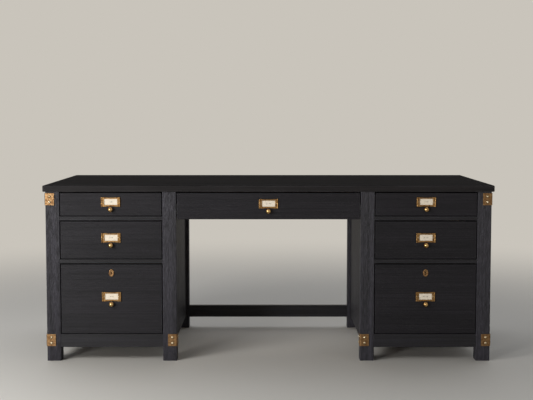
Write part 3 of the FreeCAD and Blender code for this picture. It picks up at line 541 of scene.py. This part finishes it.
# Grey printing ink, a little uneven where it sank into the paper
ink = bpy.data.materials.new("printing_ink")
ink.use_nodes = True
tree = ink.node_tree
shader = tree.nodes["Principled BSDF"]
place = node(tree, "TexCoord", {}).outputs["Object"]
sunk = node(tree, "TexNoise", {"Vector": place, "Scale": 900, "Detail": 2}).outputs[0]
colour = node(tree, "Mix", {0: sunk, 6: linear(INK_DARK), 7: linear(INK_PALE)}, data_type="RGBA").outputs[2]
tree.links.new(colour, shader.inputs["Base Color"])
shader.inputs["Roughness"].default_value = 0.7
card = bmesh.new()
slab = bmesh.ops.create_cube(card, size=1)["verts"]
card_width = 2 * WINDOW_HALF + POCKET_SHARE * POCKET_MARGIN
card_height = WINDOW_TOP - WINDOW_BOTTOM + POCKET_SHARE * POCKET_MARGIN
bmesh.ops.scale(card, verts=slab, vec=(card_width, CARD_THICKNESS, card_height))
card_middle = (WINDOW_TOP + WINDOW_BOTTOM) / 2
bmesh.ops.translate(card, verts=slab, vec=(0, CARD_GAP + CARD_THICKNESS / 2 - POCKET_DEPTH, card_middle))
ease_edges(card, CARD_EASE, segments=1)

number_ranges = ("1-20", "21-40", "41-60", "61-80", "81-100", "101-120", "121-140")
for name, numbers in zip(DRAWERS, number_ranges):
    body = f"{name}_drawer"
    low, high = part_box(f"{name}_pull")
    to_drawer = Matrix.Translation(((low.x + high.x) / 2, low.y + KNOB_PROJECTION, high.z - half_height))
    made = []
    for part, shape, material, slot, smooth in (
        ("label_holder", holder, browned_brass, "aged_brass", False),
        ("label_pins", pin_pair, bright_brass, "aged_brass", False),
        ("knob", knob, polished_brass, "aged_brass", True),
        ("knob_screw", knob_screw, zinc_steel, "slide_steel", False),
        ("card", card, card_paper, None, False),
    ):
        copy = shape.copy()
        bmesh.ops.transform(copy, verts=copy.verts, matrix=to_drawer)
        made.append(piece(f"{name}_{part}", copy, material, body, smooth))
    for one in made[:4]:
        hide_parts(f"{name}_pull")
    line = bpy.data.curves.new(f"{name}_number_line", "FONT")
    line.body = numbers
    line.size = NUMBER_HEIGHT
    line.align_x = "CENTER"
    line.align_y = "CENTER"
    line_object = bpy.data.objects.new(f"{name}_number_line", line)
    print_mesh = bpy.data.meshes.new_from_object(line_object)
    bpy.data.objects.remove(line_object)
    printed = bmesh.new()
    printed.from_mesh(print_mesh)
    print_place = Matrix.Translation((0, CARD_GAP - POCKET_DEPTH - INK_GAP, card_middle)) @ FACE_FORWARDS
    bmesh.ops.transform(printed, verts=printed.verts, matrix=to_drawer @ print_place)
    piece(f"{name}_numbers", printed, ink, body)

# Locks: an oval keyhole plate on each file drawer, with a brass case let into the back of the front.
# The plate has a raised, rounded rim, and the bolt rises from the case into the rail above.
PLATE_HALF = (0.0115, 0.016)
PLATE_THICKNESS = 0.002
PLATE_DROP = 0.037
RIM_HALF = (0.0024, 0.0011)
rim = bmesh.new()
section = bmesh.ops.create_circle(rim, segments=16, radius=1)["verts"]
bmesh.ops.scale(rim, verts=section, vec=(*RIM_HALF, 1))
bmesh.ops.translate(rim, verts=section, vec=(PLATE_HALF[0] - RIM_HALF[0], -PLATE_THICKNESS, 0))
bmesh.ops.spin(rim, geom=rim.verts[:] + rim.edges[:], cent=(0, 0, 0), axis=(0, 1, 0), dvec=(0, 0, 0),
               angle=math.tau, steps=48, use_merge=True, use_duplicate=False)
bmesh.ops.remove_doubles(rim, verts=rim.verts, dist=TOUCHING)
bmesh.ops.scale(rim, verts=rim.verts, vec=(1, 1, PLATE_HALF[1] / PLATE_HALF[0]))
for side in SIDES:
    low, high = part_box(f"{side}_file_front")
    copy = rim.copy()
    bmesh.ops.translate(copy, verts=copy.verts, vec=((low.x + high.x) / 2, low.y, high.z - PLATE_DROP))
    piece(f"{side}_file_plate_rim", copy, aged_brass, f"{side}_file_drawer", smooth=True)
dress([f"{side}_file_lock" for side in SIDES], aged_brass)
dress([f"{side}_file_lock_bolt" for side in SIDES], polished_brass)

# Floor and light: a plain pale floor that fades into the same pale ground all round.
# One soft lamp stands near the left end and a stronger one far off in front of it, so the left fronts shine;
# a weak one fills the right, and the pale ground lights the back.
GROUND = "#c9c4bb"
FLOOR_PAINT = "#dbd7cf"
SKY = "#eceff4"
FLOOR_SIZE = 60
FADE = (1.2, 4.5)
CAMERA_TILT = 0.0751
floor_shape = bmesh.new()
bmesh.ops.create_grid(floor_shape, x_segments=1, y_segments=1, size=FLOOR_SIZE)
floor_mesh = bpy.data.meshes.new("floor")
floor_shape.to_mesh(floor_mesh)
floor = bpy.data.objects.new("floor", floor_mesh)
bpy.context.scene.collection.objects.link(floor)
floor_paint = bpy.data.materials.new("pale_floor")
floor_paint.use_nodes = True
tree = floor_paint.node_tree
shader = tree.nodes["Principled BSDF"]
shader.inputs["Base Color"].default_value = linear(FLOOR_PAINT)
shader.inputs["Roughness"].default_value = 0.8
shader.inputs["Specular IOR Level"].default_value = 0.2
place = node(tree, "TexCoord", {}).outputs["Object"]
away = node(tree, "VectorMath", {0: place}, operation="LENGTH").outputs["Value"]
fade = node(tree, "MapRange", {"Value": away, "From Min": FADE[0], "From Max": FADE[1]},
            interpolation_type="SMOOTHSTEP").outputs[0]
glow = node(tree, "Emission", {"Color": linear(GROUND), "Strength": 1}).outputs[0]
mixed = node(tree, "MixShader", {0: fade, 1: shader.outputs[0], 2: glow}).outputs[0]
tree.links.new(mixed, tree.nodes["Material Output"].inputs["Surface"])
floor_mesh.materials.append(floor_paint)

world = bpy.data.worlds.new("studio")
bpy.context.scene.world = world
world.use_nodes = True
tree = world.node_tree
path = node(tree, "LightPath", {})
seen = path.outputs["Is Camera Ray"]
for ray in ("Is Glossy Ray", "Is Transmission Ray"):
    seen = node(tree, "Math", {0: seen, 1: path.outputs[ray]}, operation="MAXIMUM").outputs[0]
shown = node(tree, "Background", {"Color": linear(GROUND), "Strength": 1}).outputs[0]
towards = node(tree, "SeparateXYZ", {0: node(tree, "TexCoord", {}).outputs["Generated"]}).outputs["Y"]
level = node(tree, "MapRange", {"Value": towards, "From Min": -0.2, "From Max": 0.8, "To Min": 0.04,
                                "To Max": 1.15}).outputs[0]
lighting = node(tree, "Background", {"Color": linear(SKY), "Strength": level}).outputs[0]
mixed = node(tree, "MixShader", {0: seen, 1: lighting, 2: shown}).outputs[0]
tree.links.new(mixed, tree.nodes["World Output"].inputs["Surface"])

for name, place, target, size, power in (
    ("near_lamp", (-2.4, -2.2, 1.6), (-0.5, -0.3, 0.45), 1.2, 42),
    ("far_lamp", (-3.4, -5.8, 0.9), (-0.6, -0.3, 0.45), 1.2, 165),
    ("fill_lamp", (3.4, -3.0, 3.6), (0.5, -0.3, 0.4), 1.8, 8),
):
    lamp = bpy.data.lights.new(name, "AREA")
    lamp.shape = "DISK"
    lamp.size = size
    lamp.energy = power
    lamp_object = bpy.data.objects.new(name, lamp)
    lamp_object.location = place
    lamp_object.rotation_euler = (Vector(target) - Vector(place)).to_track_quat("-Z", "Y").to_euler()
    bpy.context.scene.collection.objects.link(lamp_object)
bpy.context.scene.view_settings.view_transform = "Standard"

camera = bpy.data.cameras.new("camera")
camera.sensor_width = 36
camera.lens = 75.72
camera_object = bpy.data.objects.new("camera", camera)
camera_object.location = (-0.0086, -5.2155, 1.0607)
camera_object.rotation_euler = (math.pi / 2 - CAMERA_TILT, 0, 0)
bpy.context.scene.collection.objects.link(camera_object)
bpy.context.scene.camera = camera_object
